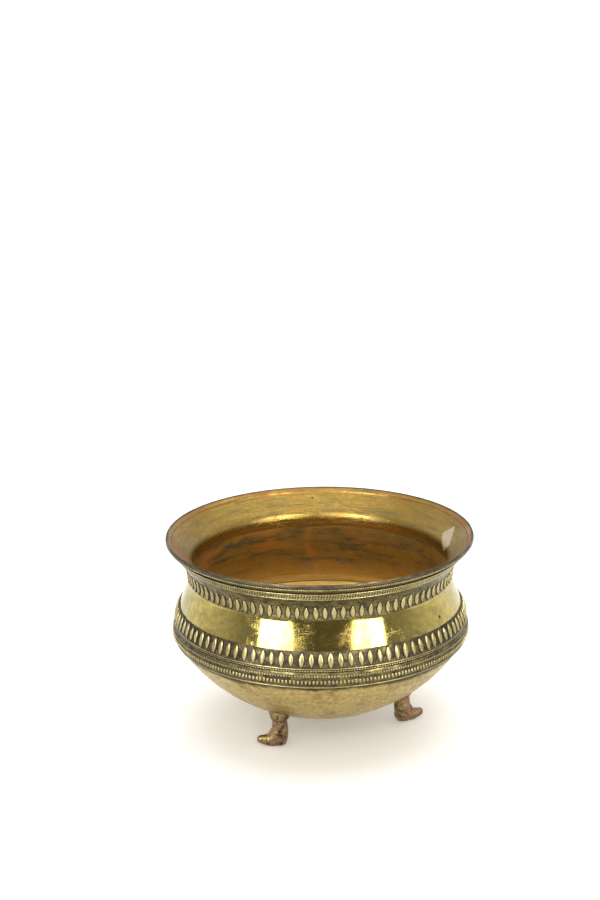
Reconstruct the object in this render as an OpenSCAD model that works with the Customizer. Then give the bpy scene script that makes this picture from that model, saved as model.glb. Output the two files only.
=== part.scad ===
// Footed brass bowl: sheet vessel in three soldered pieces, bound rim, applied ornament, cast feet.
// Origin on the bowl's axis at the level of the soles, +Z up, millimetres.

/* [Vessel] */
// Diameter over the rim binding
rim_d = 320; // [290:1:400]
// Outside diameter of the sheet at its widest ring
belly_d = 304.6; // [285:0.1:380]
// Outside diameter of the sheet at the throat
neck_d = 270.6; // [230:0.1:276]
// Underside of the bowl above the ground
under_gap = 11; // [6:0.5:20]
// Underside of the bowl up to the widest ring
bowl_h = 94; // [75:1:120]
// Widest ring up to the throat
shoulder_h = 71; // [59:1:90]
// Thickness of the sheet
wall_t = 3; // [2:0.1:4]
// Radius of the turn between the round bottom and the belly
knuckle_r = 30; // [22:1:40]
// Outside radius of the turn from the throat into the flare
throat_bend_r = 8; // [5:0.5:12]
// Slope of the flare away from upright, degrees
flare_angle = 48; // [42:1:54]

/* [Soldered joints] */
// Joint of the bowl and the shoulder below the widest ring
belly_joint_drop = 7; // [4:0.5:9]
// Joint of the shoulder and the flare below the throat
neck_joint_drop = 8; // [5:0.5:12]
// Height of the solder left below the belly band
seam_h = 1.3; // [0.8:0.1:2]
// How far that solder stands out
seam_out = 0.9; // [0.5:0.1:1.5]

/* [Rim] */
// Thickness of the binding outside the flare's edge
binding_t = 2; // [1.2:0.1:3]
// Height of the binding's outer face
binding_face_h = 3.8; // [2.5:0.1:5]
// Width of the binding's lap on the inside of the flare
binding_lap = 3.5; // [2:0.1:6]
// Thickness of that lap
lap_t = 0.9; // [0.5:0.1:1.5]
// Rounding of the rim's top edge
rim_round = 1.3; // [0.6:0.1:1.8]
// Height of the beaded wire under the rim
rim_wire_h = 2.2; // [1.2:0.1:3]

/* [Neck ornament] */
// Lower edge of the neck band below the throat
neck_band_drop = 16; // [14:0.5:20]
// Upper edge of the neck band above the throat
neck_band_rise = 16.6; // [14:0.1:18]
// Thickness of the neck band at its lower edge
neck_band_t = 0.8; // [0.5:0.1:1.5]
// Thickness of the neck band at its upper edge
neck_band_top_t = 1.7; // [1:0.1:2.5]
// Number of petals round the neck
neck_petals_n = 94; // [72:1:96]
// Height of a neck petal
neck_petal_h = 14.5; // [12:0.5:18]
// Bare band below the neck petals
neck_petal_gap = 0.8; // [0.5:0.1:3]
// Width of a neck petal
neck_petal_w = 5; // [3:0.1:6]
// Height of a twisted wire on the neck band
neck_rope_h = 2.4; // [1.6:0.1:2.4]
// Height of a plain wire on the neck band
neck_wire_h = 1.3; // [0.8:0.1:1.8]

/* [Belly ornament] */
// Upper edge of the petal band above the widest ring
petal_band_rise = 27; // [25:0.5:32]
// Thickness of the petal band
petal_band_t = 1.2; // [0.8:0.1:1.8]
// Thickness of the petal band at its upper edge
petal_band_edge_t = 0.4; // [0.2:0.1:0.8]
// Height over which that edge thins out
petal_band_taper = 3.5; // [2:0.5:6]
// Joint of the petal band and the bead band above the widest ring
band_joint_rise = 6.5; // [6:0.1:7]
// Bare band between the beaded rope and the wire under the petals
petal_wire_gap = 0.6; // [0.4:0.1:1]
// Lower edge of the bead band below the widest ring
bead_band_drop = 10.5; // [10.5:0.1:14]
// Thickness of the bead band behind the beads
bead_band_t = 2.5; // [2:0.1:3.5]
// Thickness of the bead band at its lower edge
bead_band_edge_t = 1.7; // [1:0.1:2]
// Lower end of the bead band's thick middle, below the widest ring
bead_ground_drop = 6; // [5:0.1:8]
// Upper end of the bead band's thick middle, above the widest ring
bead_ground_rise = 3.4; // [3:0.1:4]
// Middle of the bead row below the widest ring
bead_drop = 3.2; // [2:0.1:3.6]
// Number of petals round the belly
belly_petals_n = 96; // [72:1:110]
// Height of a belly petal
belly_petal_h = 15.4; // [10:0.1:15.5]
// Width of a belly petal
belly_petal_w = 5.4; // [3:0.1:6]
// Number of beads in the bead row
beads_n = 252; // [180:1:260]
// Height of a bead
bead_h = 4.4; // [3:0.1:4.6]
// Width of a bead
bead_w = 2.4; // [1.6:0.1:2.8]
// Height of a wire or rope on the belly bands
belly_wire_h = 1.7; // [1:0.1:2]

/* [Relief] */
// How far a petal stands out
petal_out = 1.6; // [1:0.1:2.2]
// How far a bead stands out
bead_out = 1.3; // [0.8:0.1:1.8]
// How far a wire or rope stands out
wire_out = 0.9; // [0.5:0.1:1.2]

/* [Feet] */
// Distance of each leg from the bowl's axis
foot_circle_r = 87.5; // [70:0.5:100]
// Direction of the front foot, degrees from the front towards the right
front_foot_a = -30; // [-60:0.5:0]
// Direction of the right foot
right_foot_a = 78; // [60:0.5:110]
// Direction of the rear foot
rear_foot_a = 204; // [180:0.5:230]
// Turn of the front foot's toe from straight out, degrees towards the right
front_toe_turn = -56; // [-60:1:60]
// Turn of the right foot's toe
right_toe_turn = 33; // [-60:1:60]
// Turn of the rear foot's toe
rear_toe_turn = 0; // [-60:1:60]
// Radius of the leg under the bowl
leg_r = 7; // [5:0.1:8]
// Radius of the ankle and the heel
heel_r = 8.8; // [8:0.1:10]
// How far the ankle bulges back past the leg
ankle_back = 0.6; // [0:0.1:2]
// Height of the ankle's middle
ankle_h = 16.5; // [14:0.5:20]
// Radius of the ball of the foot
ball_r = 6.6; // [5:0.1:8]
// Radius of the toe
toe_r = 4.4; // [3:0.1:6]
// How far the toe is lifted off the ground
toe_lift = 2.6; // [1:0.1:5]
// Leg's axis to the tip of the toe
foot_reach = 23.5; // [16:0.5:28]
// How far the sole is filed flat
sole_flat = 0.7; // [0.4:0.1:1.2]
// Radius of the foot's pad where it is brazed to the bowl
pad_r = 12; // [10:0.1:14]
// Height over which the pad narrows to the leg
pad_h = 9; // [6:0.5:12]

/* [Hidden] */

$fn = 96;
// Smallest step that counts as a separate point of an outline
eps = 0.01;
// Colours of the polished, aged and cast brass
polished = [0.72, 0.60, 0.30];
hammered = [0.66, 0.54, 0.30];
golden = [0.70, 0.50, 0.20];
aged = [0.45, 0.40, 0.25];
cast = [0.38, 0.28, 0.18];

rim_r = rim_d / 2;
belly_r = belly_d / 2;
neck_r = neck_d / 2;
belly_z = under_gap + bowl_h;
neck_z = belly_z + shoulder_h;
belly_joint_z = belly_z - belly_joint_drop;
neck_joint_z = neck_z - neck_joint_drop;

// The round bottom is a sphere that meets the knuckle's arc without a corner.
knuckle_x = belly_r - knuckle_r;
bottom_r = (pow(knuckle_x, 2) + pow(bowl_h, 2) - pow(knuckle_r, 2)) / (2 * (bowl_h - knuckle_r));
bottom_z = under_gap + bottom_r;
tangent_a = asin(knuckle_x / (bottom_r - knuckle_r));

// Number of steps in each curve of the outline
bottom_steps = 10;
knuckle_steps = 6;
shoulder_steps = 12;
bend_steps = 5;
band_steps = 6;
wire_steps = 6;
boss_steps = 4;
corner_steps = 4;

// Point of the bowl at an angle from straight down, at a depth inside the outer face.
function bowl_point(a, depth) = a < tangent_a
    ? [(bottom_r - depth) * sin(a), bottom_z - (bottom_r - depth) * cos(a)]
    : [knuckle_x + (knuckle_r - depth) * sin(a), belly_z - (knuckle_r - depth) * cos(a)];

// Angle at which the knuckle reaches a height, at a depth inside the outer face.
function knuckle_angle(z, depth) = acos((belly_z - z) / (knuckle_r - depth));

function bowl_curve(depth, z_end) = concat(
    [for (i = [0 : bottom_steps - 1]) bowl_point(tangent_a * i / bottom_steps, depth)],
    [for (i = [0 : knuckle_steps]) let (a_end = knuckle_angle(z_end, depth))
        bowl_point(tangent_a + (a_end - tangent_a) * i / knuckle_steps, depth)]);

// Outside radius of the shoulder: half a cosine wave from the belly to the throat.
function shoulder_r(z) =
    neck_r + (belly_r - neck_r) * (1 + cos(180 * (z - belly_z) / shoulder_h)) / 2;

// Turn of the throat and slope of the flare, at a depth inside the outer face.
bend_x = neck_r + throat_bend_r;
function bend_point(a, depth) =
    [bend_x - (throat_bend_r + depth) * cos(a), neck_z + (throat_bend_r + depth) * sin(a)];
function flare_z(r, depth) = let (start = bend_point(flare_angle, depth))
    start[1] + (r - start[0]) / tan(flare_angle);

flare_end_r = rim_r - binding_t;
rim_z = flare_z(flare_end_r, wall_t) + lap_t;

// Outer face of the whole wall from the knuckle to the rim, as height and radius.
wall_table = concat(
    [for (i = [0 : knuckle_steps - 1])
        let (p = bowl_point(tangent_a + (90 - tangent_a) * i / knuckle_steps, 0)) [p[1], p[0]]],
    [for (i = [0 : shoulder_steps])
        let (z = belly_z + shoulder_h * i / shoulder_steps) [z, shoulder_r(z)]],
    [for (i = [1 : bend_steps])
        let (p = bend_point(flare_angle * i / bend_steps, 0)) [p[1], p[0]]],
    [[flare_z(flare_end_r, 0), flare_end_r]]);

function wall_r(z) = lookup(z, wall_table);

// Points of a table between two heights, with an added thickness, from the bottom up.
function run(table, z0, z1, out = 0) = concat(
    [[lookup(z0, table) + out, z0]],
    [for (p = table) if (p[0] > z0 + eps && p[0] < z1 - eps) [p[1] + out, p[0]]],
    [[lookup(z1, table) + out, z1]]);

function reversed(points) = [for (i = [len(points) - 1 : -1 : 0]) points[i]];
function swapped(points) = [for (p = points) [p[1], p[0]]];

// Face of the neck band: one sweep from its lower edge up to its edge on the flare.
neck_band_z0 = neck_z - neck_band_drop;
neck_band_z1 = neck_z + neck_band_rise;
sweep_in = 1.2;
sweep_drop = 3;
sweep = [[wall_r(neck_band_z0) + neck_band_t, neck_band_z0],
    [neck_r - sweep_in, neck_z - sweep_drop],
    [wall_r(neck_band_z1) + neck_band_top_t, neck_band_z1]];
neck_face = [for (i = [0 : band_steps]) let (t = i / band_steps)
    pow(1 - t, 2) * sweep[0] + 2 * t * (1 - t) * sweep[1] + pow(t, 2) * sweep[2]];
neck_table = swapped(neck_face);

// Rows on the neck band, from the top down.
row_gap = 0.35;

// How far a boss's crown runs past its points and its sides, and the fineness of its arc
point_out = 0.3;
side_room = 1.3;
boss_fn = 720;
neck_top_wire_z = neck_band_z1 - neck_wire_h;
neck_upper_rope_z = neck_top_wire_z - row_gap - neck_rope_h;
neck_lower_rope_z = neck_upper_rope_z - row_gap - neck_rope_h;
neck_lower_wire_z = neck_lower_rope_z - row_gap - neck_wire_h;
neck_petal_z = neck_band_z0 + neck_petal_gap + neck_petal_h / 2;

// Faces of the two belly bands.
band_joint_z = belly_z + band_joint_rise;
petal_band_z1 = belly_z + petal_band_rise;
petal_taper_z = petal_band_z1 - petal_band_taper;
petal_face = concat(run(wall_table, band_joint_z, petal_taper_z, petal_band_t),
    [[wall_r(petal_band_z1) + petal_band_edge_t, petal_band_z1]]);
petal_table = swapped(petal_face);

bead_band_z0 = belly_z - bead_band_drop;
bead_ground_z0 = belly_z - bead_ground_drop;
bead_ground_z1 = belly_z + bead_ground_rise;
bead_face = [
    [wall_r(bead_band_z0) + bead_band_edge_t, bead_band_z0],
    [wall_r(bead_ground_z0) + bead_band_t, bead_ground_z0],
    [wall_r(bead_ground_z1) + bead_band_t, bead_ground_z1],
    [wall_r(band_joint_z) + petal_band_t, band_joint_z]];
bead_table = swapped(bead_face);

// Rows on the belly bands, from the top down.
petal_wire_z = band_joint_z + belly_wire_h + petal_wire_gap;
beaded_rope_z = band_joint_z + row_gap;
belly_petal_z = petal_wire_z + belly_wire_h + row_gap + belly_petal_h / 2;
fine_rope_z = bead_ground_z1 - belly_wire_h;
bead_z = belly_z - bead_drop;
edge_wire_z = bead_band_z0 + row_gap;

// A ring between a face below it and one above it.
module band(inner, outer) {
    rotate_extrude() polygon(concat(inner, reversed(outer)));
}

// Half-round outline that stands on a face between two heights, and follows its curve.
function arch(table, z0, z1, out, steps) =
    let (rise = [lookup(z1, table) - lookup(z0, table), z1 - z0],
        away = [rise[1], -rise[0]] / norm(rise))
    [for (i = [1 : steps - 1]) let (w = 180 * i / steps,
            z = (z0 + z1) / 2 - (z1 - z0) / 2 * cos(w))
        [lookup(z, table), z] + away * out * sin(w)];

// Half-round wire soldered on a face.
module wire_on(table, z0, h, out) {
    rotate_extrude()
        polygon(concat(run(table, z0, z0 + h), reversed(arch(table, z0, z0 + h, out, wire_steps))));
}

// Outline with a point at both ends: the overlap of two circles.
module leaf(w, h) {
    side_r = (pow(h / 2, 2) + pow(w / 2, 2)) / w;
    intersection() {
        translate([side_r - w / 2, 0]) circle(side_r);
        translate([w / 2 - side_r, 0]) circle(side_r);
    }
}

// Leaf-shaped boss at the front of the bowl: crowned along its length, its back on the face.
// The crown runs a little past both points of the leaf, so a point keeps some height.
module boss(table, z, w, h, out) {
    z0 = z - h / 2 - point_out;
    z1 = z + h / 2 + point_out;
    reach = max(lookup(z0, table), lookup(z1, table)) + 2 * out;
    half_angle = side_room * asin(w / 2 / lookup(z0, table));
    intersection() {
        rotate([0, 0, -90 - half_angle]) rotate_extrude(angle = 2 * half_angle, $fn = boss_fn)
            polygon(concat(run(table, z0, z1), reversed(arch(table, z0, z1, out, boss_steps))));
        translate([0, 0, z]) rotate([90, 0, 0]) linear_extrude(reach) leaf(w, h);
    }
}

// Row of equal bosses all the way round.
module boss_row(n, table, z, w, h, out) {
    for (i = [0 : n - 1]) rotate([0, 0, 360 * i / n]) boss(table, z, w, h, out);
}

module lower_bowl() {
    color(hammered) rotate_extrude()
        polygon(concat(bowl_curve(0, belly_joint_z), reversed(bowl_curve(wall_t, belly_joint_z))));
}

module shoulder_wall() {
    inner_start = knuckle_x + (knuckle_r - wall_t) * sin(knuckle_angle(belly_joint_z, wall_t));
    color(polished) band(
        concat([[inner_start, belly_joint_z]], run(wall_table, belly_z, neck_joint_z, -wall_t)),
        run(wall_table, belly_joint_z, neck_joint_z));
}

module neck_flare() {
    bend = [for (i = [1 : bend_steps]) bend_point(flare_angle * i / bend_steps, wall_t)];
    inner = concat(run(wall_table, neck_joint_z, neck_z, -wall_t), bend,
        [[flare_end_r, flare_z(flare_end_r, wall_t)]]);
    color(golden) band(inner, run(wall_table, neck_joint_z, flare_z(flare_end_r, 0)));
}

module rim_binding() {
    lap_r = flare_end_r - binding_lap;
    edge_z = flare_z(flare_end_r, 0);
    corner = [for (i = [0 : corner_steps]) let (a = 90 * i / corner_steps)
        [rim_r - rim_round + rim_round * sin(a), rim_z - rim_round + rim_round * cos(a)]];
    color(aged) rotate_extrude() polygon(concat(
        [[flare_end_r, edge_z], [flare_end_r, flare_z(flare_end_r, wall_t)],
            [lap_r, flare_z(lap_r, wall_t)], [lap_r, flare_z(lap_r, wall_t) + lap_t / 2],
            [lap_r + lap_t / 2, flare_z(lap_r, wall_t) + lap_t + lap_t / 4]],
        corner,
        [[rim_r, rim_z - binding_face_h], [rim_r - binding_t / 2, edge_z]]));
}

module rim_bead_wire() {
    color(aged) wire_on(wall_table, flare_z(flare_end_r, 0) - rim_wire_h, rim_wire_h, wire_out);
}

module neck_band() {
    color(aged) band(run(wall_table, neck_band_z0, neck_band_z1), neck_face);
}

module neck_top_wire() {
    color(aged) wire_on(neck_table, neck_top_wire_z, neck_wire_h, wire_out);
}

module neck_upper_rope() {
    color(aged) wire_on(neck_table, neck_upper_rope_z, neck_rope_h, wire_out);
}

module neck_lower_rope() {
    color(aged) wire_on(neck_table, neck_lower_rope_z, neck_rope_h, wire_out);
}

module neck_lower_wire() {
    color(aged) wire_on(neck_table, neck_lower_wire_z, neck_wire_h, wire_out);
}

module neck_petals() {
    color(polished)
        boss_row(neck_petals_n, neck_table, neck_petal_z, neck_petal_w, neck_petal_h, petal_out);
}

module belly_petal_band() {
    color(aged) band(run(wall_table, band_joint_z, petal_band_z1), petal_face);
}

module belly_petals() {
    color(polished) boss_row(belly_petals_n, petal_table, belly_petal_z, belly_petal_w,
        belly_petal_h, petal_out);
}

module belly_petal_wire() {
    color(aged) wire_on(petal_table, petal_wire_z, belly_wire_h, wire_out);
}

module belly_beaded_rope() {
    color(aged) wire_on(petal_table, beaded_rope_z, belly_wire_h, wire_out);
}

module belly_bead_band() {
    color(aged) band(run(wall_table, bead_band_z0, band_joint_z), bead_face);
}

module belly_fine_rope() {
    color(aged) wire_on(bead_table, fine_rope_z, belly_wire_h, wire_out);
}

module belly_beads() {
    color(polished) boss_row(beads_n, bead_table, bead_z, bead_w, bead_h, bead_out);
}

module belly_edge_wire() {
    color(aged) wire_on(bead_table, edge_wire_z, belly_wire_h, wire_out);
}

module belly_solder_seam() {
    color(cast) wire_on(wall_table, bead_band_z0 - seam_h, seam_h, seam_out);
}

// Everything inside the bowl's outer face, for trimming what is brazed to it.
module bowl_envelope() {
    rotate_extrude()
        polygon(concat(bowl_curve(0, belly_joint_z), [[0, belly_joint_z]]));
}

// Place and slope of the bowl's underside over a leg.
pad_a = asin(foot_circle_r / bottom_r);
leg_z = bottom_z - bottom_r * cos(pad_a);
foot_fn = 28;
// Share of the pad below the bowl's face
pad_below = 0.8;

// Boot-shaped foot with its sole on the ground and its toe turned from straight out.
module foot(azimuth, toe_turn) {
    color(cast) rotate([0, 0, azimuth - 90]) difference() {
        translate([foot_circle_r, 0, 0]) union() {
            rotate([0, 0, toe_turn]) {
                hull($fn = foot_fn) {
                    translate([0, 0, leg_z]) sphere(leg_r);
                    translate([-ankle_back, 0, ankle_h]) sphere(heel_r);
                }
                hull($fn = foot_fn) {
                    translate([-ankle_back, 0, ankle_h]) sphere(heel_r);
                    translate([0, 0, heel_r - sole_flat]) sphere(heel_r);
                    translate([heel_r, 0, ball_r - sole_flat]) sphere(ball_r);
                }
                hull($fn = foot_fn) {
                    translate([heel_r, 0, ball_r - sole_flat]) sphere(ball_r);
                    translate([foot_reach - toe_r, 0, toe_lift + toe_r]) sphere(toe_r);
                }
            }
            translate([0, 0, leg_z]) rotate([0, -pad_a, 0])
                translate([0, 0, -pad_h * pad_below]) cylinder(r1 = leg_r, r2 = pad_r, h = pad_h);
        }
        bowl_envelope();
        translate([0, 0, -rim_r]) cube([2 * rim_d, 2 * rim_d, rim_d], center = true);
    }
}

module foot_front() { foot(front_foot_a, front_toe_turn); }

module foot_right() { foot(right_foot_a, right_toe_turn); }

module foot_rear() { foot(rear_foot_a, rear_toe_turn); }

lower_bowl();
shoulder_wall();
neck_flare();
rim_binding();
rim_bead_wire();
neck_band();
neck_top_wire();
neck_upper_rope();
neck_lower_rope();
neck_lower_wire();
neck_petals();
belly_petal_band();
belly_petals();
belly_petal_wire();
belly_beaded_rope();
belly_bead_band();
belly_fine_rope();
belly_beads();
belly_edge_wire();
belly_solder_seam();
foot_front();
foot_right();
foot_rear();
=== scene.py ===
"""A brass bowl on three cast feet, with a flared rim, chased bands and petal rows.

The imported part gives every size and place. Each piece here takes its faces from that
part, adds the hand-made detail and gets its own finish of polished, hammered, chased,
cast or tarnished brass.
"""

import logging
import math
import random
from collections.abc import Sequence
from dataclasses import dataclass, field, replace
from enum import Enum

import bpy
import numpy as np
from mathutils import Matrix, Vector, noise
from mathutils.bvhtree import BVHTree

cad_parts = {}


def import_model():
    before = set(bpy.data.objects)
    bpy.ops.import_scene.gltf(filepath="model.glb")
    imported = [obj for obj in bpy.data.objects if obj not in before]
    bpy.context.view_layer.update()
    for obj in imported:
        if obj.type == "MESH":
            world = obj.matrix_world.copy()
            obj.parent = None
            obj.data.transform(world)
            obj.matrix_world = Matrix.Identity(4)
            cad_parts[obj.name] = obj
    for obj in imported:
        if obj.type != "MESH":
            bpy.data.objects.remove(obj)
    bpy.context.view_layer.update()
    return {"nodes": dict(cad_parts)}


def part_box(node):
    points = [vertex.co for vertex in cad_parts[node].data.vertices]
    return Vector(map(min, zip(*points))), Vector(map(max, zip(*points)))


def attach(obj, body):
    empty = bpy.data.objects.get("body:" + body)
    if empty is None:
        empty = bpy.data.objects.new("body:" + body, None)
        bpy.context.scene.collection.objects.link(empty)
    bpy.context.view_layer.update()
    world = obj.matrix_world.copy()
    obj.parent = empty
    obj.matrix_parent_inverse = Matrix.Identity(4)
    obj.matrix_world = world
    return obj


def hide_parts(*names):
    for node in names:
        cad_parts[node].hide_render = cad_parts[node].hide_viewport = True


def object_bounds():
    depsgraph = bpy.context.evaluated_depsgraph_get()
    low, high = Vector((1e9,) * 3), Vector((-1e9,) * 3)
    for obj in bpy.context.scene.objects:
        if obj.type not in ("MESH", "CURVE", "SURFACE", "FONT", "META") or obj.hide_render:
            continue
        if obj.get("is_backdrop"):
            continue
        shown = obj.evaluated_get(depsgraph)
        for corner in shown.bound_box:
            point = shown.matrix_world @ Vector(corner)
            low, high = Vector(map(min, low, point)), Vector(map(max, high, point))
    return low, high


LOG = logging.getLogger("brass_bowl")
BODY = "root"
RELIEF = "relief"

MM = 0.001
FAR = 0.3
TINY = 1e-5
WHITE = (1.0, 1.0, 1.0, 1.0)

# Half the length over which a face's direction is taken, and a wire's depth in its face.
LOOK_ROUND = 0.8 * MM
SUNK = 0.3 * MM

# One raised mark: where its dome ends, how a petal draws to its points, and how its foot
# and its hidden root lie, in shares of its size.
DOME_END = 1.001
POINTED = (1.8, 0.9)
FOOT_LIFT, ROOT_LIFT, ROOT_REACH = 0.1, -0.2, 1.06

# Lathe lines per metre, the flare's radius and slope at the glue, and where lamps look.
LATHE_LINES = 950.0
FLARE_RADIUS = 0.145
FLARE_SLOPE = 1.4
BOWL_MIDDLE = 0.12

Colour = tuple[float, float, float, float]
Outline = list[tuple[float, float]]


def tint(red: int, green: int, blue: int) -> Colour:
    """A colour as it is named on a swatch, turned into linear light.

    Args:
        red: Red, 0 to 255.
        green: Green, 0 to 255.
        blue: Blue, 0 to 255.

    Returns:
        The colour as four linear numbers.
    """

    def linear(part: int) -> float:
        """One channel in linear light."""
        share = part / 255
        return share / 12.92 if share <= 0.04045 else ((share + 0.055) / 1.055) ** 2.4

    return (linear(red), linear(green), linear(blue), 1.0)


# ---------------------------------------------------------------- nodes


class Bench:
    """Adds nodes to one node tree and joins them up."""

    def __init__(self, tree: bpy.types.NodeTree) -> None:
        """Takes the tree to work on."""
        self.tree = tree

    def feed(self, socket: bpy.types.NodeSocket, value: object) -> None:
        """Links a socket to another one, or sets its plain value.

        Args:
            socket: The socket to feed.
            value: Another socket, or a plain value.
        """
        if isinstance(value, bpy.types.NodeSocket):
            self.tree.links.new(value, socket)
        else:
            socket.default_value = value

    def add(self, kind: str, sockets: dict | None = None, **settings: object) -> bpy.types.Node:
        """Adds a node.

        Args:
            kind: The node's type name.
            sockets: Values or links by input name or number.
            **settings: The node's own settings.

        Returns:
            The new node.
        """
        node = self.tree.nodes.new(kind)
        for key, value in settings.items():
            setattr(node, key, value)
        for key, value in (sockets or {}).items():
            self.feed(node.inputs[key], value)
        return node

    def sum(
        self, way: str, first: object, second: object = 0.0, third: object = 0.0
    ) -> bpy.types.NodeSocket:
        """A Math node's result.

        Args:
            way: The operation.
            first: The first number or link.
            second: The second one.
            third: The third one, where the operation has it.

        Returns:
            The value socket.
        """
        sockets = {0: first, 1: second, 2: third}
        return self.add("ShaderNodeMath", sockets, operation=way).outputs[0]

    def ramp(
        self, value: object, low: object, high: object, start: object = 0.0, end: object = 1.0
    ) -> bpy.types.NodeSocket:
        """Maps low..high to start..end, smoothly and clamped.

        Args:
            value: What is mapped.
            low: Where the ramp starts.
            high: Where it ends.
            start: The result at and before low.
            end: The result at and after high.

        Returns:
            The value socket.
        """
        sockets = {0: value, 1: low, 2: high, 3: start, 4: end}
        node = self.add("ShaderNodeMapRange", sockets, interpolation_type="SMOOTHSTEP")
        return node.outputs[0]

    def mix(self, share: object, below: object, above: object) -> bpy.types.NodeSocket:
        """Lays one colour over another.

        Args:
            share: How much of the upper colour shows.
            below: The lower colour.
            above: The upper colour.

        Returns:
            The colour socket.
        """
        return self.add("ShaderNodeMix", {0: share, 6: below, 7: above}, data_type="RGBA").outputs[2]

    def vector(self, way: str, first: object, second: object) -> bpy.types.NodeSocket:
        """A Vector Math node's result, from a vector and a second vector or number."""
        sockets = {0: first, "Scale" if way == "SCALE" else 1: second}
        return self.add("ShaderNodeVectorMath", sockets, operation=way).outputs[0]

    def split(self, vector: object) -> Sequence[bpy.types.NodeSocket]:
        """A vector's three parts."""
        return self.add("ShaderNodeSeparateXYZ", {0: vector}).outputs

    def grain(
        self, vector: object, scale: object, detail: float = 4.0, rough: float = 0.55, twist: float = 0.0
    ) -> bpy.types.NodeSocket:
        """A noise value.

        Args:
            vector: Where it is read.
            scale: Its fineness, in marks per metre.
            detail: How many finer layers it has.
            rough: How strong the finer layers are.
            twist: How much it is distorted.

        Returns:
            The value socket.
        """
        sockets = {"Vector": vector, "Scale": scale, "Detail": detail, "Roughness": rough}
        sockets["Distortion"] = twist
        return self.add("ShaderNodeTexNoise", sockets).outputs[0]


def new_group(name: str, inputs: dict[str, float], outputs: Sequence[str]) -> tuple[Bench, dict, object]:
    """Starts a shader node group with a Vector input and named value sockets.

    Args:
        name: The group's name.
        inputs: Default values of its value inputs, by name.
        outputs: The names of its value outputs.

    Returns:
        Its bench, its inputs by name and its output node.
    """
    tree = bpy.data.node_groups.new(name, "ShaderNodeTree")
    tree.interface.new_socket(name="Vector", in_out="INPUT", socket_type="NodeSocketVector")
    for label, default in inputs.items():
        socket = tree.interface.new_socket(name=label, in_out="INPUT", socket_type="NodeSocketFloat")
        socket.default_value = default
    for label in outputs:
        tree.interface.new_socket(name=label, in_out="OUTPUT", socket_type="NodeSocketFloat")
    bench = Bench(tree)
    given = {socket.name: socket for socket in bench.add("NodeGroupInput").outputs if socket.name}
    return bench, given, bench.add("NodeGroupOutput")


class Effect(Enum):
    """The surface effects that the finishes share."""

    TARNISH = "Tarnish"
    PITS = "Pits"
    SCRATCHES = "Scratches"
    PLANISHING = "Planishing"
    WEAR = "Wear"
    RESIDUE = "Residue"


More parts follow.
